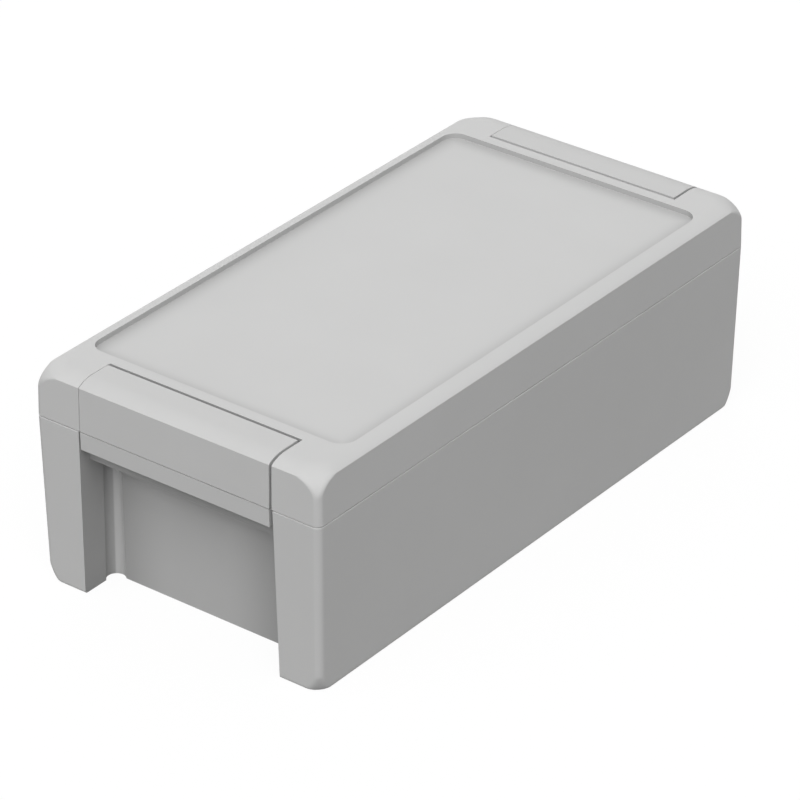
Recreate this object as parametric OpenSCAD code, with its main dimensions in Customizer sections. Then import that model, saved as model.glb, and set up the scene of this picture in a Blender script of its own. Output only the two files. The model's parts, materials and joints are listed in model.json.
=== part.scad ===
// Die-cast aluminium enclosure with a lift-off lid and two folding end covers.
// Millimetres, +Z up. The origin is the centre of the underside, X runs across the case, Y along it.
// The base tapers downward. Every corner is tight half-way up and is blunted by a slope at top and bottom.

/* [Case] */
// Length of the case along Y
case_l = 182; // [150:1:240]
// Width of the case along X, at the parting plane
case_w = 90; // [84:1:120]
// Height of the closed case
case_h = 62.2; // [54:0.1:80]
// Height of the lid above the parting plane
lid_h = 14; // [13.2:0.1:16]
// Height of the fine shadow line between base and lid
part_line = 0.3; // [0.2:0.05:0.5]
// Depth of that shadow line
part_line_d = 0.6; // [0.4:0.1:0.9]
// Lean of the base's sides, as an inset at the underside
base_draft = 0.9; // [0.5:0.1:1.5]
// Lean of the lid's sides, as an inset at the top
lid_draft = 0.2; // [0:0.05:0.4]

/* [Corners] */
// Plan radius of the upright corners
corner_r = 2; // [1.5:0.1:3]
// Height of the slope that blunts the lid's top corners
blunt_h = 6.2; // [5:0.1:8]
// Width of that slope along the corner's diagonal
blunt_w = 7.8; // [7.6:0.1:9]
// Plan radius of that slope's two sides, at the crown's foot
blunt_r = 6; // [4:0.1:7]
// Half width of the ellipse that the crown along the lid's top edges follows
crown_a = 6.5; // [5:0.1:7]
// Half height of that ellipse
crown_b = 3.2; // [2.5:0.1:4]
// Tilt of the crown where it leaves the lid's sides, in degrees
crown_tilt = 42; // [30:1:50]
// Height of the slope that blunts the base's lower corners
heel_h = 4.9; // [3:0.1:7]
// Width of that slope along the corner's diagonal
heel_w = 1.7; // [1.2:0.05:2.5]
// Plan radius of that slope's two sides, at the underside
heel_r = 4; // [2:0.1:6]
// Radius along the base's lower edge
bottom_edge_r = 0.7; // [0.4:0.1:1]

/* [Walls] */
// Thickness of the base's long walls at the rim
side_wall = 3.8; // [3.6:0.1:4]
// Thickness of the base's floor
floor_t = 3.5; // [3:0.1:5]
// Lean of the inner walls of the base, as an inset at the floor
inner_draft = 0.6; // [0.2:0.1:1]
// Thickness of the lid's skin under the sunk panel
lid_skin = 2.8; // [2.4:0.1:3.2]
// Inner corner radius of base and lid
inner_r = 4; // [3:0.1:4.5]
// Thickness of the wall between an end recess and the hollow
end_wall = 4.3; // [4:0.1:6]
// Thickness of the wall round the core of a corner pillar
pillar_wall = 3.1; // [2.5:0.1:3.5]
// Metal left over the core of a corner pillar
pillar_top = 8.2; // [6:0.1:12]

/* [Sunk panel] */
// Distance of the panel's edge from the long sides
panel_side = 4.3; // [4:0.05:6]
// Distance of the panel's edge from the ends
panel_end = 15.5; // [15:0.1:20]
// Depth of the panel below the lid's top
panel_d = 1.5; // [1:0.1:1.8]
// Lean of the panel's walls, as an inset at its floor
panel_run = 0.1; // [0.05:0.05:0.6]
// Corner radius of the panel
panel_r = 4.5; // [3.5:0.1:6]

/* [End recess] */
// Half width of the lid's end pocket
pocket_hw = 30.5; // [28:0.1:32]
// Depth of the lid's end pocket from the end face
pocket_d = 12.25; // [12:0.05:12.5]
// Step from the pocket's side out to the recess's side, at the parting plane
recess_step = 0.3; // [0.1:0.1:1]
// Lean of the recess's side walls, as extra half width at the underside
recess_draft = 0.7; // [0.4:0.1:1]
// Depth of the recess from the end face
recess_d = 12.7; // [12.5:0.1:13]
// Thickness of the ledge at the recess's top
ledge_t = 9.8; // [9:0.1:11]
// Setback of the ledge's front from the end face
ledge_back = 4; // [4:0.1:4.5]
// Thickness of the lid's shelf over the ledge
shelf_t = 5; // [4.5:0.1:5.5]

/* [End covers] */
// Wall thickness of the covers
cover_t = 2; // [1.8:0.1:2.2]
// Height of the strip below the parting plane
skirt_h = 5.1; // [4:0.1:7]
// Gap at the cover's left end
gap_left = 0.15; // [0.1:0.05:0.3]
// Gap at the cover's right end
gap_right = 0.8; // [0.3:0.05:1.2]
// Gap between the cover's top and the lid
gap_seam = 0.9; // [0.5:0.05:1.1]
// Distance of the skirt's two pegs from the middle
peg_x = 10; // [8:0.5:12]
// Radius of a peg
peg_r = 1.4; // [1:0.1:1.5]

/* [Fixings] */
// Distance of the lid screws from the pocket's sides
screw_in = 10.5; // [9.5:0.5:13]
// Distance of the lid screws from the end face
screw_u = 8; // [7.8:0.1:8.5]
// Radius of a lid screw's shank
screw_r = 2; // [1.5:0.25:2]
// Distance of a wall screw from the recess's side wall, at the underside
channel_in_x = 1.5; // [1:0.1:2]
// Distance of a wall screw from the recess's back wall
channel_in_y = 1.7; // [1:0.1:2]
// Radius of a wall screw hole
wall_hole_r = 2.25; // [2:0.05:2.25]
// Distance of the board bosses from the long sides
boss_side = 11; // [10:0.5:20]
// Distance of the board bosses from the ends
boss_end = 31; // [24:0.5:45]
// Radius of the thread hole in a board boss
boss_hole_r = 1.25; // [1:0.05:1.5]

/* [Hidden] */
$fn = 48;

CAST = [0.80, 0.80, 0.795];
MOULDED = [0.77, 0.77, 0.765];
STEEL = [0.62, 0.63, 0.65];
RUBBER = [0.12, 0.12, 0.13];

// Small overlap between joined shapes, and how far cuts run past the faces that they open
eps = 0.01;
over = 1;
half_l = case_l / 2;
half_w = case_w / 2;
half_line = part_line / 2;
// Band behind the shadow line, on base and lid
band_w = case_w - 2 * part_line_d;
band_l = case_l - 2 * part_line_d;
band_h = 3;

// Crown: where its foot lies on the ellipse, its width and drop, and its steps
crown_foot = atan2(crown_b * cos(crown_tilt), crown_a * sin(crown_tilt));
crown_w = crown_a * cos(crown_foot);
crown_d = crown_b * (1 - sin(crown_foot));
crown_n = 9;

// Heights: parting plane, panel, foot of the crown and of the corners' slopes, lid's shelf, ledge below it
part_z = case_h - lid_h;
panel_z = case_h - panel_d;
crown_z = case_h - crown_d;
blunt_z = case_h - blunt_h;
shelf_z = part_z + shelf_t;
ledge_z = part_z - ledge_t;

// Corners: depth of an upright corner's cut on the diagonal, share of a cut that its fillets take, and the
// powers of the curves that the slopes follow at top and bottom
edge_cut = corner_r * tan(22.5);
fillet_share = 0.9;
blunt_p = 1.85;
heel_p = 1.3;

// Hollow of the base
hollow_w = case_w - 2 * side_wall;
hollow_l = case_l - 2 * (recess_d + end_wall);

// Seal: a tongue on the base presses a cord in the lid's groove. All three follow one loop.
seal_in = 1.2;
seal_x = hollow_w / 2 + seal_in;
seal_y = hollow_l / 2 + seal_in;
seal_r = inner_r + seal_in;
tongue_w = 1.2;
tongue_h = 1.3;
groove_w = 2;
groove_h = 2.6;
seal_gap = 0.1;
gasket_w = groove_w - seal_gap;
gasket_top = part_z + groove_h;
gasket_low = part_z + tongue_h + seal_gap;

// Hollow of the lid, inside the groove's inner wall
groove_wall = 1.4;
lid_hollow_w = 2 * (seal_x - groove_w / 2 - groove_wall);
lid_hollow_l = 2 * (seal_y - groove_w / 2 - groove_wall);
lid_hollow_top = panel_z - lid_skin;

// Ends: u is the distance inward from an end face
recess_hw = pocket_hw + recess_step;
flap_d = pocket_d - gap_seam;
cover_x0 = -pocket_hw + gap_left;
cover_x1 = pocket_hw - gap_right;
cover_len = cover_x1 - cover_x0;
cover_fillet = 1.2;
web_gap = 0.3;
web_u = ledge_back - web_gap;
peg_z = part_z + shelf_t / 2;
peg_l = 3;
peg_clear = 0.05;
peg_tip_gap = 0.5;
peg_rim = 0.8;
gusset_in = 4;
gusset_t = 1.5;
gusset_h = 9;

// Screws and holes
screw_clear = 0.25;
thread_clear = 0.1;
head_r = 3.5;
head_h = 4;
head_chamfer = 0.4;
key_af = 3;
key_d = 2.2;
tip_chamfer = 0.6;
tip_gap = 0.8;
tip_cover = 1.4;
hole_low = ledge_z + tip_cover;
screw_tip = hole_low + tip_gap;
screw_x = pocket_hw - screw_in;
channel_r = 2.6;
channel_top_r = 2.35;
wall_head_r = 3.7;
wall_head_d = 4.2;
wall_x = recess_at(0) - channel_in_x;
wall_u = recess_d - channel_in_y;
boss_r = 3.5;
boss_h = 6;
core_r = 1.5;

// Share of a slope's width at share u of its height, from upright to level on a superellipse of power p
function bend(u, p) = 1 - pow(1 - pow(max(0, min(1, u)), p), 1 / p);

// One ring of a rounded rectangle: w by l, corner radius r, at height z
function ring(w, l, r, z, n = 8) = [
    for (q = [0:3]) for (i = [0:n])
        let (a = (q + i / n) * 90, sx = (q == 0 || q == 3) ? 1 : -1, sy = q < 2 ? 1 : -1)
            [sx * (w / 2 - r) + r * cos(a), sy * (l / 2 - r) + r * sin(a), z]
];

// One ring of the case's outline, inset by d, at height z. Its corners are cut to a depth on the diagonal,
// and a fillet of radius soft, or less where the cut is short, rounds each end of the cut.
function shell_ring(d, cut, soft, z, n = 5) =
    let (r = fillet_share * min(soft, cut / tan(22.5)), far = sqrt(2) * cut + r * tan(22.5)) [
        for (q = [0:3]) for (h = [0:1]) for (i = [0:n])
            let (a = 90 * q + 45 * (h + i / n), sx = (q == 0 || q == 3) ? 1 : -1, sy = q < 2 ? 1 : -1,
                 on_side = (q + h) % 2 == 0)
                [sx * (half_w - d - (on_side ? r : far)) + r * cos(a),
                 sy * (half_l - d - (on_side ? far : r)) + r * sin(a), z]
    ];

// Solid through a list of rings with equal counts of points, from low to high
module loft(rings) {
    m = len(rings[0]);
    k = len(rings);
    points = [for (r = rings) each r];
    low = [for (i = [m - 1:-1:0]) i];
    high = [for (i = [0:m - 1]) (k - 1) * m + i];
    sides = [
        for (j = [0:k - 2]) for (i = [0:m - 1])
            let (a = j * m + i, b = j * m + (i + 1) % m)
                each [[a, b, b + m], [a, b + m, a + m]]
    ];
    // Faces run clockwise seen from outside
    polyhedron(points, [for (f = concat([low], [high], sides)) [for (i = [len(f) - 1:-1:0]) f[i]]]);
}

// Upright prism on a rounded rectangle
module slab(w, l, r, z0, z1) {
    translate([0, 0, z0]) linear_extrude(z1 - z0) {
        square([w - 2 * r, l], center = true);
        square([w, l - 2 * r], center = true);
        for (sx = [-1, 1], sy = [-1, 1]) translate([sx * (w / 2 - r), sy * (l / 2 - r)]) circle(r);
    }
}

// Closed band along the seal's loop
module seal_band(width, z0, z1) {
    difference() {
        slab(2 * seal_x + width, 2 * seal_y + width, seal_r + width / 2, z0, z1);
        slab(2 * seal_x - width, 2 * seal_y - width, seal_r - width / 2, z0 - over, z1 + over);
    }
}

// Copies for both ends: children are drawn for the front end at -Y
module both_ends() {
    children();
    mirror([0, 1, 0]) children();
}

// Places children at x = -dx and x = dx on both ends, y inward from the end face
module four(dx, u) {
    for (sx = [-1, 1], sy = [-1, 1]) translate([sx * dx, sy * (half_l - u), 0]) children();
}

// Inset of the base's sides at height z
function inset(z) = base_draft * (part_z - z) / part_z;

// Rings of the base's outside: rounded lower edge, blunted corners, upright corners
function base_rings() = concat(
    [for (i = [0:4])
        let (a = 90 - 22.5 * i, z = bottom_edge_r * (1 - sin(a)), c = bottom_edge_r * (1 - cos(a)))
            shell_ring(base_draft + c, heel_cut(z) - sqrt(2) * c, heel_soft(z), z)],
    [for (i = [1:8]) let (z = bottom_edge_r + (heel_h - bottom_edge_r) * i / 8)
        shell_ring(inset(z), heel_cut(z), heel_soft(z), z)],
    [let (z = part_z - half_line) shell_ring(inset(z), edge_cut, corner_r, z)]
);

// Depth of the base's corner cut and radius of its fillets at height z, in the slope
function heel_cut(z) = edge_cut + heel_w * bend(1 - z / heel_h, heel_p);
function heel_soft(z) = corner_r + (heel_r - corner_r) * bend(1 - z / heel_h, heel_p);

// Inset of the lid's sides at height z, below the crown
function lean(z) = lid_draft * (z - part_z) / lid_h;

// Crown along the lid's top edges: points [inset, height] at equal steps of its tilt
function crown() = [
    for (i = [1:crown_n])
        let (tilt = crown_tilt * (1 - i / crown_n), a = atan2(crown_b * cos(tilt), crown_a * sin(tilt)))
            [crown_w - crown_a * cos(a), case_h - crown_b * (1 - sin(a))]
];

// Depth of the lid's corner cut and radius of its fillets at height z, in the slope
function blunt_cut(z) = edge_cut + blunt_w * bend((z - blunt_z) / blunt_h, blunt_p);
function blunt_soft(z) = corner_r + (blunt_r - corner_r) * bend((z - blunt_z) / (crown_z - blunt_z), 2);

// Rings of the lid's outside: upright corners, blunted corners, crown
function lid_rings() = concat(
    [let (z = part_z + half_line) shell_ring(lean(z), edge_cut, corner_r, z)],
    [for (i = [0:10]) let (z = blunt_z + (crown_z - blunt_z) * pow(i / 10, blunt_p))
        shell_ring(lean(z), blunt_cut(z), blunt_soft(z), z)],
    [for (p = crown())
        shell_ring(lean(crown_z) + p[0], blunt_cut(p[1]) - sqrt(2) * p[0], blunt_r, p[1])]
);

// Half width of the end recess at height z
function recess_at(z) = recess_hw + recess_draft * (part_z - z) / part_z;

// Cut into the front end between two heights, with side walls that lean outward to the bottom
module recess_cut(z0, z1, depth) {
    translate([0, depth - half_l, 0]) rotate([90, 0, 0]) linear_extrude(depth + over)
        polygon([[-recess_at(z0), z0], [recess_at(z0), z0], [recess_at(z1), z1], [-recess_at(z1), z1]]);
}

// Core in a corner pillar, open to the underside
module pillar_core() {
    x0 = recess_at(0) + pillar_wall + core_r;
    x1 = half_w - base_draft - pillar_wall - core_r;
    u0 = base_draft + pillar_wall + core_r;
    u1 = recess_d + end_wall - pillar_wall - core_r;
    translate([0, -half_l, -over]) linear_extrude(part_z - pillar_top + over)
        hull() for (x = [x0, x1], u = [u0, u1]) translate([x, u]) circle(core_r, $fn = 24);
}

module base_tub() {
    color(CAST) difference() {
        union() {
            difference() {
                union() {
                    loft(base_rings());
                    slab(band_w, band_l, corner_r, part_z - band_h, part_z);
                    seal_band(tongue_w, part_z - over, part_z + tongue_h);
                }
                // Hollow of the base, drawn upward
                loft([ring(hollow_w - 2 * inner_draft, hollow_l - 2 * inner_draft, inner_r, floor_t),
                      ring(hollow_w, hollow_l, inner_r, part_z),
                      ring(hollow_w, hollow_l, inner_r, part_z + tongue_h + over)]);
            }
            four(half_w - boss_side, boss_end) translate([0, 0, floor_t - over])
                cylinder(h = boss_h + over, r = boss_r);
        }
        both_ends() {
            recess_cut(-over, ledge_z, recess_d);
            recess_cut(ledge_z - over, part_z + over, ledge_back);
            for (sx = [0, 1]) mirror([sx, 0, 0]) pillar_core();
        }
        // Channels for the wall screws in the recess's inner corners, and their holes through the ledge
        four(wall_x, wall_u) {
            translate([0, 0, -over]) cylinder(h = ledge_z + over, r1 = channel_r, r2 = channel_top_r);
            cylinder(h = part_z, r = wall_hole_r);
            translate([0, 0, part_z - wall_head_d]) cylinder(h = wall_head_d + over, r = wall_head_r);
        }
        // Thread holes for the lid screws
        four(screw_x, screw_u) translate([0, 0, hole_low]) cylinder(h = part_z, r = screw_r + thread_clear);
        four(half_w - boss_side, boss_end) translate([0, 0, floor_t])
            cylinder(h = boss_h + over, r = boss_hole_r);
    }
}

module lid() {
    pw = case_w - 2 * panel_side;
    pl = case_l - 2 * panel_end;
    spill = panel_run * over / panel_d;
    color(CAST) difference() {
        union() {
            loft(lid_rings());
            slab(band_w, band_l, corner_r, part_z, part_z + band_h);
        }
        // Hollow of the lid
        slab(lid_hollow_w, lid_hollow_l, inner_r, part_z - over, lid_hollow_top);
        seal_band(groove_w, part_z - over, gasket_top);
        // Sunk panel with steep walls
        loft([ring(pw - 2 * panel_run, pl - 2 * panel_run, panel_r - panel_run, panel_z),
              ring(pw + 2 * spill, pl + 2 * spill, panel_r + spill, case_h + over)]);
        both_ends() {
            // End pocket above the shelf, and the slot for the skirt in front of it
            translate([-pocket_hw, -half_l - over, shelf_z]) cube([2 * pocket_hw, pocket_d + over, lid_h]);
            translate([-pocket_hw, -half_l - over, part_z - over])
                cube([2 * pocket_hw, ledge_back + over, lid_h + 2 * over]);
            for (sx = [-1, 1]) translate([sx * peg_x, ledge_back - half_l - over, peg_z])
                rotate([-90, 0, 0]) cylinder(h = over + peg_l + peg_tip_gap, r = peg_r + peg_clear);
        }
        four(screw_x, screw_u) translate([0, 0, part_z - over])
            cylinder(h = shelf_t + 2 * over, r = screw_r + screw_clear);
    }
}

module lid_gasket() {
    color(RUBBER) seal_band(gasket_w, gasket_low, gasket_top);
}

// Socket-head screw with its head seated at z = 0
module lid_screw() {
    difference() {
        union() {
            cylinder(h = head_h - head_chamfer, r = head_r);
            translate([0, 0, head_h - head_chamfer])
                cylinder(h = head_chamfer, r1 = head_r, r2 = head_r - head_chamfer);
            translate([0, 0, screw_tip - shelf_z + tip_chamfer])
                cylinder(h = shelf_z - screw_tip, r = screw_r);
            translate([0, 0, screw_tip - shelf_z])
                cylinder(h = tip_chamfer + eps, r1 = screw_r - tip_chamfer, r2 = screw_r);
        }
        translate([0, 0, head_h - key_d]) cylinder(h = key_d + over, r = key_af / sqrt(3), $fn = 6);
    }
}

module lid_screws() {
    color(STEEL) four(screw_x, screw_u) translate([0, 0, shelf_z]) lid_screw();
}

// Section of the flap across the end: leaning end plate, crowned edge, top plate and an inner fillet
module flap_section() {
    z0 = part_z + half_line;
    inner_z = case_h - cover_t;
    fillet = [for (i = [0:6]) let (a = 90 + 15 * i)
        [cover_t + cover_fillet * (1 + cos(a)), inner_z - cover_fillet * (1 - sin(a))]];
    polygon(concat(
        [[lean(z0), z0], [lean(crown_z), crown_z]], [for (p = crown()) [lean(crown_z) + p[0], p[1]]],
        [[flap_d, case_h], [flap_d, inner_z]], fillet, [[cover_t, z0]]
    ));
}

// Flap of the front end cover, above the fold line
module cover_flap() {
    translate([cover_x0, -half_l, 0]) rotate([90, 0, 90]) linear_extrude(cover_len) flap_section();
    // Three gussets stiffen the corner
    for (sx = [-1:1]) translate([sx * (pocket_hw - gusset_in) - gusset_t / 2, -half_l, 0])
        rotate([90, 0, 90]) linear_extrude(gusset_t)
            polygon([[cover_t - eps, case_h - gusset_h], [flap_d - cover_t, case_h - cover_t + eps],
                     [cover_t - eps, case_h - cover_t + eps]]);
}

// Strip below the fold line, with the web and pegs that hold the cover on the lid's shelf
module cover_skirt() {
    z0 = part_z - skirt_h;
    z1 = part_z - half_line;
    web_u0 = cover_t + web_gap;
    translate([cover_x0, -half_l, 0]) rotate([90, 0, 90]) linear_extrude(cover_len) polygon([
        [inset(z0), z0], [cover_t, z0], [web_u, z0 + web_u - cover_t], [web_u, shelf_z], [web_u0, shelf_z],
        [web_u0, z1], [inset(z1), z1]
    ]);
    for (sx = [-1, 1]) translate([sx * peg_x, web_u - half_l - eps, peg_z]) rotate([-90, 0, 0]) {
        cylinder(h = web_gap + eps, r = peg_r + peg_rim);
        cylinder(h = web_gap + peg_l, r = peg_r);
    }
}

module front_cover_flap() { color(MOULDED) cover_flap(); }
module front_cover_skirt() { color(MOULDED) cover_skirt(); }
module back_cover_flap() { color(MOULDED) mirror([0, 1, 0]) cover_flap(); }
module back_cover_skirt() { color(MOULDED) mirror([0, 1, 0]) cover_skirt(); }

base_tub();
lid();
lid_gasket();
lid_screws();
front_cover_flap();
front_cover_skirt();
back_cover_flap();
back_cover_skirt();
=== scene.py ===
"""Looks of a die-cast aluminium enclosure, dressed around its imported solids, in metres."""

import json
import logging
import math
from dataclasses import dataclass, field
from enum import Enum, IntEnum
from typing import Callable

import bmesh
import bpy
from mathutils import Matrix, Vector


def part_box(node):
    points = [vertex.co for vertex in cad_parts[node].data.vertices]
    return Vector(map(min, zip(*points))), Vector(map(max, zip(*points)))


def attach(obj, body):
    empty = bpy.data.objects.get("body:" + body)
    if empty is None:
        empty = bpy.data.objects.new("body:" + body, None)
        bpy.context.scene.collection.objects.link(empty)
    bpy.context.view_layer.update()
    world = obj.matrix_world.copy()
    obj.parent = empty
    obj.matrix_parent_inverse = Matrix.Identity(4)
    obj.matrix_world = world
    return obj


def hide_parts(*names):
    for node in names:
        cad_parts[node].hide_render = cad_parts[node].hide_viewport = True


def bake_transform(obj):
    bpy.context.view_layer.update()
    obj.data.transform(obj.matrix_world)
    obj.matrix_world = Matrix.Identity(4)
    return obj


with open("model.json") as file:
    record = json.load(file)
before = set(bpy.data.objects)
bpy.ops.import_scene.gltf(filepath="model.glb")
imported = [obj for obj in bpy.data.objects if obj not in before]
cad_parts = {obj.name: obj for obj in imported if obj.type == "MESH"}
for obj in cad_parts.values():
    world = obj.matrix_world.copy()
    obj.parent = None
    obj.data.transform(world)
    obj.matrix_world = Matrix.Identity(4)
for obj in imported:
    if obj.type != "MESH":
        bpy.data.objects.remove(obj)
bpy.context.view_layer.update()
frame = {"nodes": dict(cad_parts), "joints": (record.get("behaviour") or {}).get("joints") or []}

LOG = logging.getLogger("enclosure")
MM = 0.001

Colour = tuple[float, float, float]
Span = tuple[float, float]
Ring = list[bmesh.types.BMVert]
Radius = Callable[[int], float]


class End(Enum):
    """The two ends of the case, by the sign of Y."""

    FRONT = -1
    BACK = 1

    @property
    def label(self) -> str:
        """Word that starts the names of this end's nodes."""
        return self.name.lower()


class Side(Enum):
    """Left and right of the case, by the sign of X."""

    LEFT = -1
    RIGHT = 1


class Coat(IntEnum):
    """Finishes of a cast half, by their place in its list."""

    OUTER = 0
    BARE = 1
    # Coat with painted shade, in the end recesses and the sunk panel
    SUNK = 2
    # Darkest painted shade, in the shadow line, the pockets and the ledges
    SHADED = 3


class NodeBoard:
    """A node tree with short ways to add nodes and link them."""

    def __init__(self, tree: bpy.types.NodeTree) -> None:
        """Keep the tree that nodes go into."""
        self.tree = tree

    def add(self, kind: str, **inputs: object) -> bpy.types.Node:
        """Add a node and set or link its inputs.

        Args:
            kind: Blender's type name of the node.
            inputs: Values or output sockets by input name, with _ for a space.

        Returns:
            The new node.
        """
        node = self.tree.nodes.new(kind)
        for name, value in inputs.items():
            self.feed(node.inputs[name.replace("_", " ")], value)
        return node

    def feed(self, socket: bpy.types.NodeSocket, value: object) -> None:
        """Link an output to a socket, or set the socket's own value.

        Args:
            socket: Input that is fed.
            value: Output socket, or a plain value.
        """
        if isinstance(value, bpy.types.NodeSocket):
            self.tree.links.new(value, socket)
        else:
            socket.default_value = value

    def math(self, operation: str, *values: object) -> bpy.types.NodeSocket:
        """Add a Math node.

        Args:
            operation: Blender's name of the operation.
            values: Values or output sockets, in order.

        Returns:
            The node's output.
        """
        node = self.tree.nodes.new("ShaderNodeMath")
        node.operation = operation
        for socket, value in zip(node.inputs, values):
            self.feed(socket, value)
        return node.outputs[0]

    def point(self) -> bpy.types.NodeSocket:
        """Place of a surface point on its object."""
        return self.add("ShaderNodeTexCoord").outputs["Object"]

    def axes(self) -> dict[str, bpy.types.NodeSocket]:
        """Place of a surface point on its object, by axis name."""
        split = self.add("ShaderNodeSeparateXYZ", Vector=self.point())
        return {socket.name: socket for socket in split.outputs}

    def noise(self, place: bpy.types.NodeSocket, scale: object, detail: float) -> bpy.types.NodeSocket:
        """Add a noise over a place and return its value."""
        return self.add("ShaderNodeTexNoise", Vector=place, Scale=scale, Detail=detail).outputs[0]

    def spread(self, value: bpy.types.NodeSocket, low: object, high: object) -> bpy.types.NodeSocket:
        """Map a value from 0..1 to low..high."""
        return self.add("ShaderNodeMapRange", Value=value, To_Min=low, To_Max=high).outputs[0]

    def ramp(self, value: bpy.types.NodeSocket, start: float, stop: float) -> bpy.types.NodeSocket:
        """Ease from 0 to 1 between two values.

        Args:
            value: Value that runs from start to stop.
            start: Value that gives 0.
            stop: Value that gives 1, above or below start.

        Returns:
            The eased value.
        """
        node = self.add("ShaderNodeMapRange", Value=value, From_Min=start, From_Max=stop)
        node.interpolation_type = "SMOOTHSTEP"
        return node.outputs[0]

    def tint(self, factor: bpy.types.NodeSocket, low: object, high: object) -> bpy.types.NodeSocket:
        """Mix two colours.

        Args:
            factor: Share of the second colour.
            low: First colour, as a value or an output socket.
            high: Second colour, as a value or an output socket.

        Returns:
            The mixed colour.
        """
        node = self.tree.nodes.new("ShaderNodeMix")
        node.data_type = "RGBA"
        sockets = {(socket.name, socket.type): socket for socket in node.inputs}
        self.feed(sockets["Factor", "VALUE"], factor)
        for name, colour in (("A", low), ("B", high)):
            self.feed(sockets[name, "RGBA"], (*colour, 1.0) if isinstance(colour, tuple) else colour)
        return next(socket for socket in node.outputs if socket.type == "RGBA")


class GrainGroup:
    """Shader group shared by the finishes: fine relief, slow mottling and flecks over the surface."""

    NAME = "fine_grain"
    INPUTS = {"Peel Scale": 1500.0, "Mottle Scale": 40.0}
    OUTPUTS = ("Height", "Mottle", "Fleck")
    PEEL_DETAIL = 2.0
    FLECK_DETAIL = 1.0
    MOTTLE_DETAIL = 3.0
    FLECK_FINENESS = 4.0
    FLECK_HEIGHT = 0.35

    @classmethod
    def tree(cls) -> bpy.types.NodeTree:
        """Build the group, or return it where it exists.

        Returns:
            The group's node tree, with inputs Peel Scale and Mottle Scale and outputs Height, Mottle and
            Fleck.
        """
        found = bpy.data.node_groups.get(cls.NAME)
        if found:
            return found
        tree = bpy.data.node_groups.new(cls.NAME, "ShaderNodeTree")
        for name, value in cls.INPUTS.items():
            socket = tree.interface.new_socket(name, in_out="INPUT", socket_type="NodeSocketFloat")
            socket.default_value = value
        for name in cls.OUTPUTS:
            tree.interface.new_socket(name, in_out="OUTPUT", socket_type="NodeSocketFloat")
        board = NodeBoard(tree)
        given = board.add("NodeGroupInput").outputs
        place = board.point()
        peel = board.noise(place, given["Peel Scale"], cls.PEEL_DETAIL)
        finer = board.math("MULTIPLY", given["Peel Scale"], cls.FLECK_FINENESS)
        fleck = board.noise(place, finer, cls.FLECK_DETAIL)
        mottle = board.noise(place, given["Mottle Scale"], cls.MOTTLE_DETAIL)
        height = board.math("MULTIPLY_ADD", fleck, cls.FLECK_HEIGHT, peel)
        board.add("NodeGroupOutput", Height=height, Mottle=mottle, Fleck=fleck)
        return tree

    @classmethod
    def place(cls, board: NodeBoard, peel: float, mottle: float) -> bpy.types.Node:
        """Put the group into a material.

        Args:
            board: Board of the material.
            peel: Scale of the fine relief.
            mottle: Scale of the slow mottling.

        Returns:
            The group's node.
        """
        node = board.add("ShaderNodeGroup")
        node.node_tree = cls.tree()
        node.inputs["Peel Scale"].default_value = peel
        node.inputs["Mottle Scale"].default_value = mottle
        return node


@dataclass(frozen=True)
class Grain:
    """Roughness of a finish, the scales of its relief and mottling, and the relief's strength and depth."""

    rough: Span
    peel: float
    mottle: float
    bump: float
    depth: float


@dataclass(frozen=True)
class Finish:
    """A surface finish with grain, mottling and a spread of roughness."""

    name: str
    slot: str
    dark: Colour
    light: Colour
    grain: Grain
    metallic: float = 0.0
    specular: float = 0.5

    def material(self) -> bpy.types.Material:
        """Build the finish's material, or return it where it exists.

        Returns:
            The material.
        """
        found = bpy.data.materials.get(self.name)
        if found:
            return found
        made = bpy.data.materials.new(self.name)
        made.use_nodes = True
        board = NodeBoard(made.node_tree)
        shader = made.node_tree.nodes["Principled BSDF"]
        surface = GrainGroup.place(board, self.grain.peel, self.grain.mottle).outputs
        board.feed(shader.inputs["Base Color"], self.colour(board, surface["Mottle"]))
        board.feed(shader.inputs["Roughness"], board.spread(surface["Fleck"], *self.grain.rough))
        shader.inputs["Metallic"].default_value = self.metallic
        shader.inputs["Specular IOR Level"].default_value = self.specular
        self.relief(board, shader, surface["Height"])
        return made

    def colour(self, board: NodeBoard, mottle: bpy.types.NodeSocket) -> bpy.types.NodeSocket:
        """Colour over the surface, between the finish's dark and light."""
        return board.tint(mottle, self.dark, self.light)

    def relief(self, board: NodeBoard, shader: bpy.types.Node, height: bpy.types.NodeSocket) -> None:
        """Feed the finish's height to the shader's normal.

        Args:
            board: Board of the material.
            shader: The material's main shader.
            height: Height over the surface.
        """
        bump = board.add("ShaderNodeBump", Strength=self.grain.bump, Distance=self.grain.depth, Height=height)
        board.feed(shader.inputs["Normal"], bump.outputs["Normal"])


@dataclass(frozen=True)
class TurnedFinish(Finish):
    """A bare metal finish with fine rings about the Z axis of each screw."""

    ring_scale: float = 9000.0
    ring_height: float = 0.6

    def relief(self, board: NodeBoard, shader: bpy.types.Node, height: bpy.types.NodeSocket) -> None:
        """Add turning rings to the grain.

        Args:
            board: Board of the material.
            shader: The material's main shader.
            height: Height over the surface.
        """
        rings = board.add("ShaderNodeTexWave", Vector=board.point(), Scale=self.ring_scale)
        rings.wave_type = "RINGS"
        rings.rings_direction = "Z"
        turned = board.math("MULTIPLY_ADD", rings.outputs["Fac"], self.ring_height, height)
        super().relief(board, shader, turned)


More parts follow.
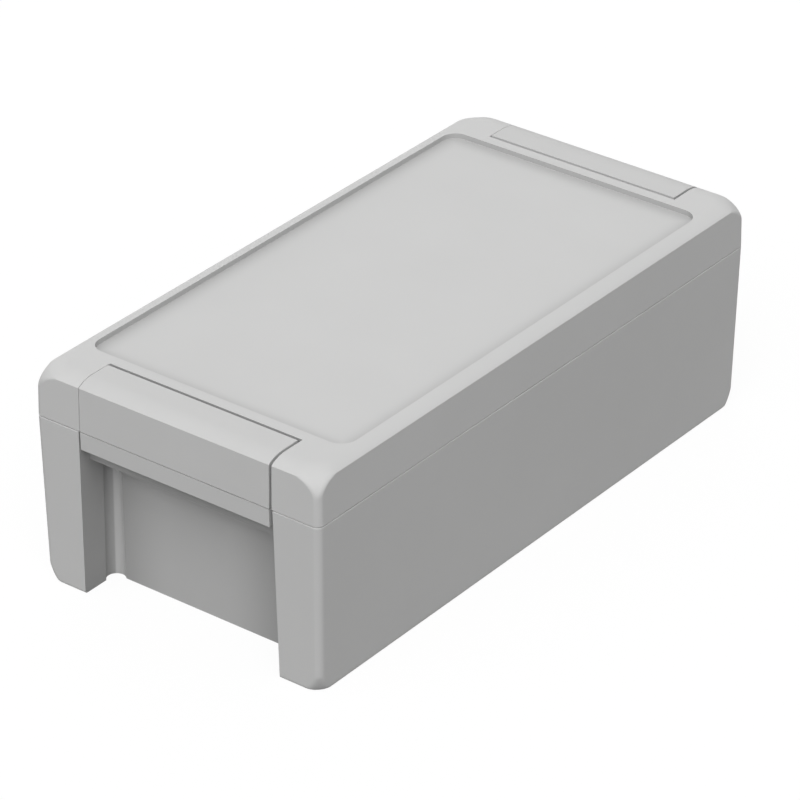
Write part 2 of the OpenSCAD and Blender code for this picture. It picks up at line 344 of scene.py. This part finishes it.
@dataclass(frozen=True)
class RecessFinish(Finish):
    """A coat with painted shade, deeper towards the sides and top of an end recess and none in its channels.

    The spans left and right, in X, and tops, in Z, run from the plain coat to the painted shade.
    The span channel, in the distance along Y from the middle of the case, runs from there to the full,
    unshaded tone.
    """

    # Tone of the painted shade, and the full tone that the channels keep
    thin: Colour = (0.43, 0.43, 0.428)
    full: Colour = (0.60, 0.60, 0.597)
    left: Span = (-12.0 * MM, -32.0 * MM)
    right: Span = (4.0 * MM, 24.0 * MM)
    tops: Span = (24.0 * MM, 46.0 * MM)
    channel: Span = (78.29 * MM, 77.95 * MM)

    def colour(self, board: NodeBoard, mottle: bpy.types.NodeSocket) -> bpy.types.NodeSocket:
        """Blend painted shade into the coat.

        Args:
            board: Board of the material.
            mottle: Slow mottling over the surface.

        Returns:
            The colour, with its painted shade.
        """
        place = board.axes()
        # Painted shade, deeper towards the recess's sides and top
        side = board.math("MAXIMUM", board.ramp(place["X"], *self.left), board.ramp(place["X"], *self.right))
        high = board.math("MAXIMUM", side, board.ramp(place["Z"], *self.tops))
        coat = board.tint(high, super().colour(board, mottle), self.thin)
        # No painted shade in the channels
        return board.tint(board.ramp(board.math("ABSOLUTE", place["Y"]), *self.channel), coat, self.full)


@dataclass(frozen=True)
class PanelFinish(Finish):
    """A coat with painted shade along the sunk panel's border and on its steep walls.

    The border lies inside the panel's half width and half length, and the walls' span is in Z.
    """

    # Tone of the painted shade
    thin: Colour = (0.40, 0.40, 0.398)
    half: Span = (40.6 * MM, 75.4 * MM)
    border: float = 7.0 * MM
    falloff: float = 2.0
    shade: float = 0.48
    wall: Span = (60.75 * MM, 60.85 * MM)

    def colour(self, board: NodeBoard, mottle: bpy.types.NodeSocket) -> bpy.types.NodeSocket:
        """Blend painted shade into the coat.

        Args:
            board: Board of the material.
            mottle: Slow mottling over the surface.

        Returns:
            The colour, with its painted shade.
        """
        place = board.axes()
        # Painted shade, darker near the panel's border and in full on its walls
        near = [board.math("SUBTRACT", half, board.math("ABSOLUTE", place[axis]))
                for half, axis in zip(self.half, "XY")]
        edge = board.ramp(board.math("MINIMUM", *near), self.border, 0.0)
        foot = board.math("MULTIPLY", board.math("POWER", edge, self.falloff), self.shade)
        steep = board.ramp(place["Z"], *self.wall)
        return board.tint(board.math("MAXIMUM", foot, steep), super().colour(board, mottle), self.thin)


FINE_POWDER = Grain((0.56, 0.66), peel=1400.0, mottle=35.0, bump=0.10, depth=0.06 * MM)
COARSE_POWDER = Grain((0.58, 0.70), peel=1100.0, mottle=45.0, bump=0.14, depth=0.07 * MM)
MOULD_TEXTURE = Grain((0.58, 0.68), peel=4200.0, mottle=60.0, bump=0.12, depth=0.03 * MM)
CAST_GRAIN = Grain((0.42, 0.58), peel=900.0, mottle=120.0, bump=0.22, depth=0.08 * MM)
TURNED_GRAIN = Grain((0.22, 0.34), peel=2500.0, mottle=200.0, bump=0.10, depth=0.02 * MM)
RUBBER_GRAIN = Grain((0.62, 0.78), peel=3200.0, mottle=150.0, bump=0.25, depth=0.03 * MM)
# Specular levels of the coats and mouldings, and of rubber
MATTE = 0.2
SATIN = 0.3

POWDER_COAT = Finish(
    "powder_coat", "cast_coat", (0.585, 0.585, 0.582), (0.615, 0.615, 0.612), FINE_POWDER, specular=MATTE)
# Coat with painted shade along the sunk panel's border and walls
PANEL_SHADE_COAT = PanelFinish(
    "panel_coat", "cast_coat", (0.585, 0.585, 0.582), (0.615, 0.615, 0.612), FINE_POWDER, specular=MATTE)
# Coat with painted shade in the end recesses, darker than the outer coat all through
RECESS_SHADE_COAT = RecessFinish(
    "recess_coat", "cast_coat", (0.495, 0.495, 0.493), (0.525, 0.525, 0.522), COARSE_POWDER, specular=MATTE)
# Darkest painted shade, for the shadow line, the pockets and the ledges under the covers
DEEP_SHADE_COAT = Finish(
    "pocket_coat", "cast_coat", (0.355, 0.355, 0.353), (0.395, 0.395, 0.393), COARSE_POWDER, specular=MATTE)
MOULDED = Finish(
    "moulded_cover", "cover_plastic", (0.57, 0.57, 0.567), (0.595, 0.595, 0.592), MOULD_TEXTURE,
    specular=MATTE)
# The fold film's dark tone is painted shade in the narrow fold line
SHADED_FOLD_FILM = Finish(
    "fold_film", "cover_plastic", (0.17, 0.17, 0.169), (0.22, 0.22, 0.219), MOULD_TEXTURE, specular=MATTE)
BARE_CASTING = Finish(
    "bare_casting", "cast_coat", (0.36, 0.37, 0.38), (0.50, 0.51, 0.52), CAST_GRAIN, metallic=0.75)
STAINLESS = TurnedFinish(
    "turned_stainless", "screw_steel", (0.50, 0.51, 0.53), (0.60, 0.61, 0.63), TURNED_GRAIN, metallic=1.0)
RUBBER = Finish(
    "seal_rubber", "seal", (0.022, 0.022, 0.024), (0.038, 0.038, 0.040), RUBBER_GRAIN, specular=SATIN)


def new_object(name: str, mesh: bpy.types.Mesh) -> bpy.types.Object:
    """Link a mesh into the scene.

    Args:
        name: Name of the object.
        mesh: Mesh that it shows.

    Returns:
        The new object.
    """
    made = bpy.data.objects.new(name, mesh)
    bpy.context.scene.collection.objects.link(made)
    return made


def new_mesh(name: str, build: Callable[[bmesh.types.BMesh], None]) -> bpy.types.Mesh:
    """Make a mesh with a function that fills a bmesh.

    Args:
        name: Name of the mesh.
        build: Function that adds the geometry.

    Returns:
        The finished mesh.
    """
    work = bmesh.new()
    build(work)
    mesh = bpy.data.meshes.new(name)
    work.to_mesh(mesh)
    work.free()
    return mesh


def join_rings(work: bmesh.types.BMesh, rings: list[Ring], smooth: bool) -> None:
    """Join each ring of points to the next one with quads.

    Args:
        work: Mesh that takes the faces.
        rings: Rings of equal count, in order.
        smooth: Whether the faces are shaded smooth.
    """
    for ring, following in zip(rings, rings[1:]):
        for i, point in enumerate(ring):
            j = (i + 1) % len(ring)
            work.faces.new((point, ring[j], following[j], following[i])).smooth = smooth


@dataclass
class DressedSolid:
    """A rigid solid taken over from the frame, with its small edges broken and its curves shaded smooth."""

    node: str
    body: str
    finish: Finish
    # Distance within which points are welded, and the angle up to which faces are one flat
    weld: float = 1e-6
    flat_angle: float = math.radians(0.3)
    # Width, steps and roundness of a broken edge
    edge: float = 0.06 * MM
    segments: int = 2
    profile: float = 0.5
    # Shortest edge, smallest face and least angle for a break, and heights between which none is made
    min_edge: float = 0.12 * MM
    min_area: float = 0.5 * MM * MM
    square: float = math.radians(60)
    crisp: Span = (47.9 * MM, 48.5 * MM)
    # Cosines of the angles up to which neighbours shade in full and from which they don't at all
    soft: float = math.cos(math.radians(26))
    sharp: float = math.cos(math.radians(44))
    # Share of a face's own normal, for a face with no area
    own_share: float = 1e-12
    box: tuple[Vector, Vector] = field(init=False)
    obj: bpy.types.Object = field(init=False)

    def build(self) -> None:
        """Copy the solid, weld and simplify it, and break its long convex edges."""
        self.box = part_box(self.node)
        work = bmesh.new()
        work.from_mesh(frame["nodes"][self.node].data)
        bmesh.ops.remove_doubles(work, verts=work.verts, dist=self.weld)
        bmesh.ops.dissolve_limit(work, angle_limit=self.flat_angle, verts=work.verts, edges=work.edges)
        edges = [e for e in work.edges if self.breaks(e)]
        bmesh.ops.bevel(work, geom=edges, offset=self.edge, offset_type="OFFSET", profile=self.profile,
                        segments=self.segments, affect="EDGES", clamp_overlap=False)
        for face in work.faces:
            face.smooth = True
            face.material_index = self.dressing(face)
        mesh = bpy.data.meshes.new(self.node + "_dressed")
        work.to_mesh(mesh)
        work.free()
        mesh.normals_split_custom_set(self.corner_normals(mesh))
        self.obj = new_object(self.node + "_dressed", mesh)
        LOG.info("%s: %d faces, %d edges broken", self.obj.name, len(mesh.polygons), len(edges))

    def breaks(self, edge: bmesh.types.BMEdge) -> bool:
        """Tell whether an edge gets broken.

        Args:
            edge: Edge of the solid.

        Returns:
            True for a square, convex edge between two faces of some size, outside the crisp heights.
        """
        if len(edge.link_faces) != 2 or not edge.is_convex or edge.calc_length() < self.min_edge:
            return False
        if min(f.calc_area() for f in edge.link_faces) < self.min_area:
            return False
        if self.crisp[0] < self.middle(edge).z < self.crisp[1]:
            return False
        return edge.calc_face_angle(0.0) > self.square

    @staticmethod
    def middle(edge: bmesh.types.BMEdge) -> Vector:
        """Middle of an edge."""
        return (edge.verts[0].co + edge.verts[1].co) / 2

    def corner_normals(self, mesh: bpy.types.Mesh) -> list[Vector]:
        """Shade curves smooth and keep flats flat.

        Args:
            mesh: Mesh of the piece.

        Returns:
            One normal for each face corner: the mean over the faces round its vertex, by area and by how
            nearly they look the same way.
        """
        normals = [f.normal.copy() for f in mesh.polygons]
        areas = [f.area for f in mesh.polygons]
        around: list[list[int]] = [[] for _ in mesh.vertices]
        for face in mesh.polygons:
            for v in face.vertices:
                around[v].append(face.index)
        result = []
        for face in mesh.polygons:
            own = normals[face.index]
            for v in face.vertices:
                total = own * self.own_share
                for k in around[v]:
                    alike = (normals[k].dot(own) - self.sharp) / (self.soft - self.sharp)
                    total += normals[k] * areas[k] * min(1.0, max(0.0, alike))
                result.append(total.normalized())
        return result

    def dressing(self, face: bmesh.types.BMFace) -> int:
        """Place in the list of finishes of the one that a face takes."""
        return 0

    def finishes(self) -> list[Finish]:
        """Finishes of the piece, in the order that dressing counts them."""
        return [self.finish]

    def dress(self) -> None:
        """Give the piece its finishes and its body, and hide the node that it stands for."""
        for finish in self.finishes():
            self.obj.data.materials.append(finish.material())
        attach(self.obj, self.body)
        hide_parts(self.node)


@dataclass
class CastShell(DressedSolid):
    """A cast half of the case: coated outside, bare in its hollow, with painted shade in the shadow line."""

    finish: Finish = POWDER_COAT
    # Coat with painted shade for the recesses or the sunk panel
    sunk_coat: Finish = RECESS_SHADE_COAT
    # Faces nearer than this to the half's sides and ends, or to its underside and top, aren't in the hollow
    hollow: Span = (3.7 * MM, 16.6 * MM)
    skin: Span = (1.0 * MM, 2.0 * MM)
    # Heights of the shadow line, and how much of an upright face's normal may point up or down
    shadow_line: Span = (48.06 * MM, 48.34 * MM)
    upright: float = 0.3

    def dressing(self, face: bmesh.types.BMFace) -> int:
        """Choose a face's finish by where the face is.

        Args:
            face: Face of the piece.

        Returns:
            Bare metal in the hollow, painted shade in the shadow line, and else what the half chooses.
        """
        low, high = self.box
        centre = face.calc_center_median()
        within = abs(centre.x) < high.x - self.hollow[0] and abs(centre.y) < high.y - self.hollow[1]
        if within and low.z + self.skin[0] <= centre.z <= high.z - self.skin[1]:
            return Coat.BARE
        # The shadow line takes the darkest painted shade
        if self.shadow_line[0] < centre.z < self.shadow_line[1] and abs(face.normal.z) < self.upright:
            return Coat.SHADED
        return self.coat(face)

    def coat(self, face: bmesh.types.BMFace) -> Coat:
        """Coat of a face outside the hollow and the shadow line."""
        return Coat.OUTER

    def finishes(self) -> list[Finish]:
        """Finishes in the order of Coat."""
        return [self.finish, BARE_CASTING, self.sunk_coat, DEEP_SHADE_COAT]


@dataclass
class BaseTub(CastShell):
    """The cast base, with an open recess in each end and a narrow lip along its upper edge."""

    node: str = "base_tub"
    body: str = "base"
    edge: float = 0.15 * MM
    segments: int = 1
    min_area: float = 0.02 * MM * MM
    crisp: Span = (0.0, 0.0)
    # Heights between which the lip's edges lie
    lip: Span = (48.0 * MM, 48.1 * MM)
    # Half width and depth of a recess, and how far it keeps from the base's underside and top
    recess: Span = (33.0 * MM, 14.5 * MM)
    recess_ends: Span = (0.2 * MM, 1.5 * MM)
    # Height over which a recess has its ledge, and how much of a ledge face's normal may point sideways
    ledge: float = 38.2 * MM
    sideways: float = 0.5

    def coat(self, face: bmesh.types.BMFace) -> Coat:
        """Choose the coat of a face outside the hollow and the shadow line.

        Args:
            face: Face of the base.

        Returns:
            Darkest painted shade on a ledge, painted recess shade in the rest of a recess, and else the
            outer coat.
        """
        high = self.box[1]
        centre = face.calc_center_median()
        level = self.recess_ends[0] < centre.z < high.z - self.recess_ends[1]
        if not level or abs(centre.x) > self.recess[0] or high.y - abs(centre.y) > self.recess[1]:
            return Coat.OUTER
        # A ledge under a cover takes the darkest painted shade
        if centre.z > self.ledge and abs(face.normal.x) < self.sideways:
            return Coat.SHADED
        # The rest of a recess takes the recess's painted shade
        return Coat.SUNK

    def breaks(self, edge: bmesh.types.BMEdge) -> bool:
        """True for the edges of the lip."""
        return self.lip[0] < self.middle(edge).z < self.lip[1] and super().breaks(edge)


@dataclass
class CastLid(CastShell):
    """The cast lid, with a sunk panel on top and a pocket at each end."""

    node: str = "lid"
    body: str = "lid"
    sunk_coat: Finish = PANEL_SHADE_COAT
    crisp: Span = (47.9 * MM, 49.2 * MM)
    # Depth under the top within which a face belongs to the rim
    rim: float = 0.3 * MM
    # How far the panel's outline keeps from the lid's sides and ends, and its depth under the top
    panel: Span = (4.1 * MM, 15.3 * MM)
    panel_depth: float = 1.6 * MM
    # Left and right side of the pockets, and how far they reach in from the lid's ends
    pocket: Span = (-30.2 * MM, 30.9 * MM)
    pocket_depth: float = 12.6 * MM

    def coat(self, face: bmesh.types.BMFace) -> Coat:
        """Choose the coat of a face outside the hollow and the shadow line.

        Args:
            face: Face of the lid.

        Returns:
            The outer coat on the rim, darkest painted shade in a pocket, the panel's painted shade in the
            panel, and else the outer coat.
        """
        high = self.box[1]
        centre = face.calc_center_median()
        if centre.z > high.z - self.rim:
            return Coat.OUTER
        # A pocket takes the darkest painted shade
        if self.pocket[0] < centre.x < self.pocket[1] and abs(centre.y) > high.y - self.pocket_depth:
            return Coat.SHADED
        # The sunk panel takes its painted shade
        return Coat.SUNK if self.sunk(centre) and centre.z > high.z - self.panel_depth else Coat.OUTER

    def sunk(self, point: Vector) -> bool:
        """True for a point inside the outline of the sunk panel."""
        high = self.box[1]
        return abs(point.x) < high.x - self.panel[0] and abs(point.y) < high.y - self.panel[1]

    def breaks(self, edge: bmesh.types.BMEdge) -> bool:
        """True for square edges outside the panel."""
        return not self.sunk(self.middle(edge)) and super().breaks(edge)


@dataclass
class EndCover:
    """One end cover: flap above the fold line, skirt below it and the film that joins them."""

    end: End
    # Thickness of the film, its depth behind the outer face, its lap over each moulding and its steps
    film_t: float = 0.12 * MM
    film_in: float = 0.30 * MM
    film_lap: float = 0.06 * MM
    film_steps: int = 8
    film: bpy.types.Object = field(init=False)
    parts: list[DressedSolid] = field(init=False)

    def build(self) -> None:
        """Build the flap, the skirt and the film between them."""
        name = self.end.label
        self.parts = [
            DressedSolid(f"{name}_cover_flap", f"{name}_flap", MOULDED),
            DressedSolid(f"{name}_cover_skirt", "lid", MOULDED),
        ]
        for part in self.parts:
            part.build()
        self.film = new_object(f"{name}_cover_film", new_mesh(f"{name}_cover_film", self.film_strip))
        LOG.info("%s: %d faces", self.film.name, len(self.film.data.polygons))

    def levels(self) -> Span:
        """Find the heights between which the film bends.

        Returns:
            Heights of the skirt's top edge and of the flap's lower edge at the outer face.
        """
        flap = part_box(f"{self.end.label}_cover_flap")
        hinge = next(j for j in frame["joints"] if j["name"] == f"{self.end.label}_flap_fold")
        return 2 * hinge["pos_m"][2] - flap[0].z, flap[0].z

    def outer_face(self) -> float:
        """Place of the cover's outer face along Y."""
        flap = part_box(f"{self.end.label}_cover_flap")
        return flap[0].y if self.end is End.FRONT else flap[1].y

    def film_strip(self, work: bmesh.types.BMesh) -> None:
        """Add the closed strip of film across the fold line.

        Args:
            work: Mesh that takes the strip.
        """
        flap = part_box(f"{self.end.label}_cover_flap")
        left, right = flap[0].x, flap[1].x
        low, high = self.levels()
        depths = (self.film_in, self.film_in + self.film_t)
        near, far = (self.outer_face() - self.end.value * depth for depth in depths)
        rings = []
        for i in range(self.film_steps + 1):
            z = low - self.film_lap + (high - low + 2 * self.film_lap) * i / self.film_steps
            corners = ((left, near), (right, near), (right, far), (left, far))
            rings.append([work.verts.new((x, y, z)) for x, y in corners])
        join_rings(work, rings, smooth=False)
        work.faces.new(rings[0])
        work.faces.new(rings[-1])
        bmesh.ops.recalc_face_normals(work, faces=work.faces)

    def dress(self) -> None:
        """Dress the two mouldings and give the film its finish."""
        for part in self.parts:
            part.dress()
        # The film carries painted shade of the fold line
        self.film.data.materials.append(SHADED_FOLD_FILM.material())
        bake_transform(self.film)


@dataclass
class SealCord:
    """Rounded rubber cord in the lid's groove."""

    node: str = "lid_gasket"
    width: float = 1.9 * MM
    # Outer radius of the loop's corners
    corner: float = 6.15 * MM
    # Steps of a corner and of the section, and how square the section is, where 2 is round
    arc_steps: int = 16
    section_steps: int = 20
    squareness: float = 2.6
    obj: bpy.types.Object = field(init=False)

    def build(self) -> None:
        """Sweep the cord's section round the seal's loop."""
        self.obj = new_object("lid_seal_cord", new_mesh("lid_seal_cord", self.sweep))
        LOG.info("%s: %d faces", self.obj.name, len(self.obj.data.polygons))

    def sweep(self, work: bmesh.types.BMesh) -> None:
        """Add the closed tube of the cord.

        Args:
            work: Mesh that takes the tube.
        """
        low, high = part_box(self.node)
        half_w, half_h = self.width / 2, (high.z - low.z) / 2
        mid_z = (low.z + high.z) / 2
        loop_x, loop_y, radius = high.x - half_w, high.y - half_w, self.corner - half_w
        rings = []
        for quarter, (sx, sy) in enumerate(((1, 1), (-1, 1), (-1, -1), (1, -1))):
            for i in range(self.arc_steps + 1):
                a = math.radians(90) * (quarter + i / self.arc_steps)
                out = Vector((math.cos(a), math.sin(a), 0))
                middle = Vector((sx * (loop_x - radius), sy * (loop_y - radius), mid_z)) + out * radius
                rings.append([work.verts.new(middle + out * half_w * u + Vector((0, 0, half_h * v)))
                              for u, v in self.section()])
        join_rings(work, rings + rings[:1], smooth=True)
        bmesh.ops.recalc_face_normals(work, faces=work.faces)

    def section(self) -> list[Span]:
        """Draw the section as a rounded square.

        Returns:
            Its points, across and up, from -1 to 1.
        """
        points = []
        for k in range(self.section_steps):
            a = 2 * math.pi * k / self.section_steps
            c, s = math.cos(a), math.sin(a)
            points.append((math.copysign(abs(c) ** (2 / self.squareness), c),
                           math.copysign(abs(s) ** (2 / self.squareness), s)))
        return points

    def dress(self) -> None:
        """Give the cord its rubber and its body, and hide its node."""
        self.obj.data.materials.append(RUBBER.material())
        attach(self.obj, "lid")
        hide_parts(self.node)


@dataclass
class LidScrews:
    """Four socket-head screws with a knurled head and a cut thread."""

    node: str = "lid_screws"
    # Head, with its chamfers at the top, at the underside and round the socket
    head_r: float = 3.5 * MM
    head_h: float = 4.0 * MM
    top_chamfer: float = 0.4 * MM
    foot_chamfer: float = 0.15 * MM
    socket_chamfer: float = 0.12 * MM
    key_af: float = 3.0 * MM
    key_d: float = 2.2 * MM
    # Knurl: ridges, their depth, how far they keep from the head's underside and top, and their run-outs
    knurls: int = 48
    knurl_d: float = 0.14 * MM
    knurl_ends: Span = (0.45 * MM, 0.75 * MM)
    knurl_fade: Span = (0.10 * MM, 0.12 * MM)
    # Shank, with its plain neck and the tip's taper and chamfer
    shank_r: float = 2.0 * MM
    plain: float = 3.4 * MM
    tip_taper: float = 0.3 * MM
    tip_chamfer: float = 0.4 * MM
    # Thread, with its rings a turn, the rings over which it starts and ends, and the points of a ring
    pitch: float = 0.7 * MM
    thread_depth: float = 0.38 * MM
    turn_rings: int = 4
    start_rings: int = 6
    end_rings: int = 4
    steps: int = 36
    pieces: list[bpy.types.Object] = field(init=False)

    def build(self) -> None:
        """Place one screw at each corner of the node's box."""
        low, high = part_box(self.node)
        seat = high.z - self.head_h
        x, y = high.x - self.head_r, high.y - self.head_r
        mesh = new_mesh("lid_screw", lambda work: self.screw(work, low.z - seat))
        self.pieces = []
        for end in End:
            for side in Side:
                piece = new_object(f"lid_screw_{end.label}_{side.name.lower()}", mesh)
                piece.location = (side.value * x, end.value * y, seat)
                self.pieces.append(piece)
        LOG.info("lid screws: %d of %d faces", len(self.pieces), len(mesh.polygons))

    def screw(self, work: bmesh.types.BMesh, tip: float) -> None:
        """Add one screw with its head's underside at z = 0.

        Args:
            work: Mesh that takes the screw.
            tip: Height of the tip, below zero.
        """
        self.head(work)
        self.thread(work, tip)
        bmesh.ops.recalc_face_normals(work, faces=work.faces)

    def ring(self, work: bmesh.types.BMesh, count: int, z: float, radius: Radius) -> Ring:
        """Add a ring of points about the axis.

        Args:
            work: Mesh that takes the points.
            count: Number of points.
            z: Height of the ring.
            radius: Radius by index.

        Returns:
            The ring's points.
        """
        turn = 2 * math.pi / count
        return [work.verts.new((radius(i) * math.cos(i * turn), radius(i) * math.sin(i * turn), z))
                for i in range(count)]

    def head(self, work: bmesh.types.BMesh) -> None:
        """Add the knurled head with its six-sided socket.

        Args:
            work: Mesh that takes the head.
        """
        count = 2 * self.knurls
        sector = math.radians(60)
        valley = self.head_r - self.knurl_d
        socket_r = self.key_af / math.sqrt(3) + self.socket_chamfer
        knurl_low, knurl_high = self.knurl_ends[0], self.head_h - self.knurl_ends[1]

        def plain(radius: float) -> Radius:
            """Ring of one radius."""
            return lambda i: radius

        def knurled(i: int) -> float:
            """Ring of ridges and valleys."""
            return self.head_r - (self.knurl_d if i % 2 else 0.0)

        def hexagon(i: int) -> float:
            """Six-sided ring of the key's width."""
            a = (2 * math.pi * i / count) % sector - sector / 2
            return self.key_af / 2 / math.cos(a)

        outline = (
            (0.0, plain(self.shank_r)),
            (0.0, plain(valley - self.foot_chamfer)),
            (self.foot_chamfer, plain(valley)),
            (knurl_low - self.knurl_fade[0], plain(valley)),
            (knurl_low, knurled),
            (knurl_high, knurled),
            (knurl_high + self.knurl_fade[1], plain(valley)),
            (self.head_h - self.top_chamfer, plain(valley)),
            (self.head_h, plain(valley - self.top_chamfer)),
            (self.head_h, plain(socket_r)),
            (self.head_h - self.socket_chamfer, hexagon),
            (self.head_h - self.key_d, hexagon),
        )
        rings = [self.ring(work, count, z, radius) for z, radius in outline]
        join_rings(work, rings, smooth=False)
        work.faces.new(rings[-1])

    def thread(self, work: bmesh.types.BMesh, tip: float) -> None:
        """Add the plain neck and the helical thread, down to the tip.

        Args:
            work: Mesh that takes the shank.
            tip: Height of the tip, below zero.
        """
        run = -tip - self.plain - self.pitch
        levels = int(run / self.pitch * self.turn_rings)
        tip_r = self.shank_r - self.thread_depth - self.tip_chamfer
        rings = [self.ring(work, self.steps, z, lambda i: self.shank_r) for z in (0.0, -self.plain)]
        for level in range(1, levels + 1):
            left = levels - level
            depth = self.thread_depth * min(1.0, level / self.start_rings, left / self.end_rings)
            taper = self.tip_taper * max(0.0, 1 - left / self.end_rings)

            def radius(i: int, level: int = level, depth: float = depth, taper: float = taper) -> float:
                """Radius on a ridge that climbs once a turn."""
                phase = (level / self.turn_rings + i / self.steps) % 1.0
                ridge = 1 - abs(2 * phase - 1)
                return self.shank_r - depth * (1 - ridge) - taper

            rings.append(self.ring(work, self.steps, -self.plain - run * level / levels, radius))
        rings.append(self.ring(work, self.steps, tip, lambda i: tip_r))
        join_rings(work, rings, smooth=True)
        work.faces.new(rings[-1])

    def dress(self) -> None:
        """Give each screw its steel and its body, and hide the node that they stand for."""
        for piece in self.pieces:
            if not piece.data.materials:
                piece.data.materials.append(STAINLESS.material())
            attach(piece, "lid")
            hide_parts(self.node)


@dataclass(frozen=True)
class Lamp:
    """A far lamp, as wide as its angle seen from the case."""

    name: str
    strength: float
    towards: tuple[float, float, float]
    angle: float

    def build(self) -> None:
        """Add the lamp, turned so that it shines from its direction."""
        light = bpy.data.lights.new(self.name, "SUN")
        light.energy = self.strength
        light.angle = self.angle
        lamp = bpy.data.objects.new(self.name, light)
        lamp.rotation_euler = Vector(self.towards).to_track_quat("Z", "Y").to_euler()
        bpy.context.scene.collection.objects.link(lamp)


LAMPS = (
    Lamp("key_light", 1.13, (0.386, -0.531, 0.755), math.radians(50)),
    Lamp("front_light", 1.32, (0.0, -0.799, 0.602), math.radians(90)),
    Lamp("side_light", 0.68, (0.985, 0.0, 0.174), math.radians(80)),
    Lamp("back_light", 0.52, (-0.497, 0.709, 0.5), math.radians(80)),
    Lamp("left_light", 0.50, (-0.849, 0.523, 0.075), math.radians(30)),
)


@dataclass
class Studio:
    """White floor and world, the lamps and the camera."""

    lamps: tuple[Lamp, ...] = LAMPS
    # Strength of the world's even light
    fill: float = 0.30
    # Floor: size, drop below the case, tones to light and to the eye, share and strength of its own white
    floor_size: float = 8.0
    floor_drop: float = 0.05 * MM
    floor_bounce: float = 0.02
    floor_pale: float = 0.80
    floor_white: float = 0.90
    floor_glow: float = 1.03
    # Camera: its angles, its lens and sensor in millimetres, and its place to the right, up and back
    azimuth: float = math.radians(37.542)
    elevation: float = math.radians(30.043)
    lens: float = 199.74
    sensor: float = 36.0
    offset: tuple[float, float, float] = (-0.438 * MM, 22.79 * MM, 1167.01 * MM)

    def build(self) -> None:
        """Build the whole studio."""
        self.world()
        self.floor()
        for lamp in self.lamps:
            lamp.build()
        self.camera()

    def seen(self, board: NodeBoard) -> bpy.types.NodeSocket:
        """Make a mask of the rays that see the white studio.

        Args:
            board: Board of the material or the world.

        Returns:
            1 for camera, glossy and transmission rays, and 0 for the rest.
        """
        path = board.add("ShaderNodeLightPath").outputs
        first = board.math("MAXIMUM", path["Is Camera Ray"], path["Is Glossy Ray"])
        return board.math("MAXIMUM", first, path["Is Transmission Ray"])

    def world(self) -> None:
        """White to the eye and in reflections, an even fill for the rest."""
        world = bpy.data.worlds.new("studio_world")
        bpy.context.scene.world = world
        world.use_nodes = True
        board = NodeBoard(world.node_tree)
        background = world.node_tree.nodes["Background"]
        strength = board.math("MULTIPLY_ADD", self.seen(board), 1.0 - self.fill, self.fill)
        board.feed(background.inputs["Strength"], strength)
        background.inputs["Color"].default_value = (1, 1, 1, 1)

    def floor(self) -> None:
        """A plain floor that looks white and keeps a faint shadow."""
        half = self.floor_size / 2

        def sheet(work: bmesh.types.BMesh) -> None:
            """Add the floor's one face."""
            corners = ((-half, -half), (half, -half), (half, half), (-half, half))
            work.faces.new([work.verts.new((x, y, -self.floor_drop)) for x, y in corners])

        floor = new_object("studio_floor", new_mesh("studio_floor", sheet))
        material = bpy.data.materials.new("studio_floor")
        material.use_nodes = True
        tree = material.node_tree
        tree.nodes.remove(tree.nodes["Principled BSDF"])
        board = NodeBoard(tree)
        seen = self.seen(board)
        tone = board.tint(seen, (self.floor_bounce,) * 3, (self.floor_pale,) * 3)
        matte = board.add("ShaderNodeBsdfDiffuse", Color=tone)
        white = board.add("ShaderNodeEmission", Strength=self.floor_glow)
        mix = board.add("ShaderNodeMixShader", Fac=board.math("MULTIPLY", seen, self.floor_white))
        board.feed(mix.inputs[1], matte.outputs[0])
        board.feed(mix.inputs[2], white.outputs[0])
        board.feed(tree.nodes["Material Output"].inputs["Surface"], mix.outputs[0])
        floor.data.materials.append(material)

    def camera(self) -> None:
        """Set the camera at the photograph's angle."""
        a, e = self.azimuth, self.elevation
        back = Vector((math.sin(a) * math.cos(e), -math.cos(a) * math.cos(e), math.sin(e)))
        right = Vector((math.cos(a), math.sin(a), 0))
        up = back.cross(right)
        data = bpy.data.cameras.new("camera")
        data.lens = self.lens
        data.sensor_width = self.sensor
        camera = bpy.data.objects.new("camera", data)
        place = right * self.offset[0] + up * self.offset[1] + back * self.offset[2]
        turn = Matrix((right, up, back)).transposed().to_4x4()
        camera.matrix_world = Matrix.Translation(place) @ turn
        bpy.context.scene.collection.objects.link(camera)
        bpy.context.scene.camera = camera


def main() -> None:
    """Build and dress every piece, then the studio."""
    logging.basicConfig(level=logging.INFO, format="%(name)s: %(message)s")
    bpy.context.scene.view_settings.view_transform = "Standard"
    sub_assemblies = [
        BaseTub(),
        CastLid(),
        SealCord(),
        LidScrews(),
        EndCover(End.FRONT),
        EndCover(End.BACK),
    ]
    for item in sub_assemblies:
        item.build()
        item.dress()
        LOG.info("dressed %s", type(item).__name__)
    Studio().build()


if __name__ == "__main__":
    main()
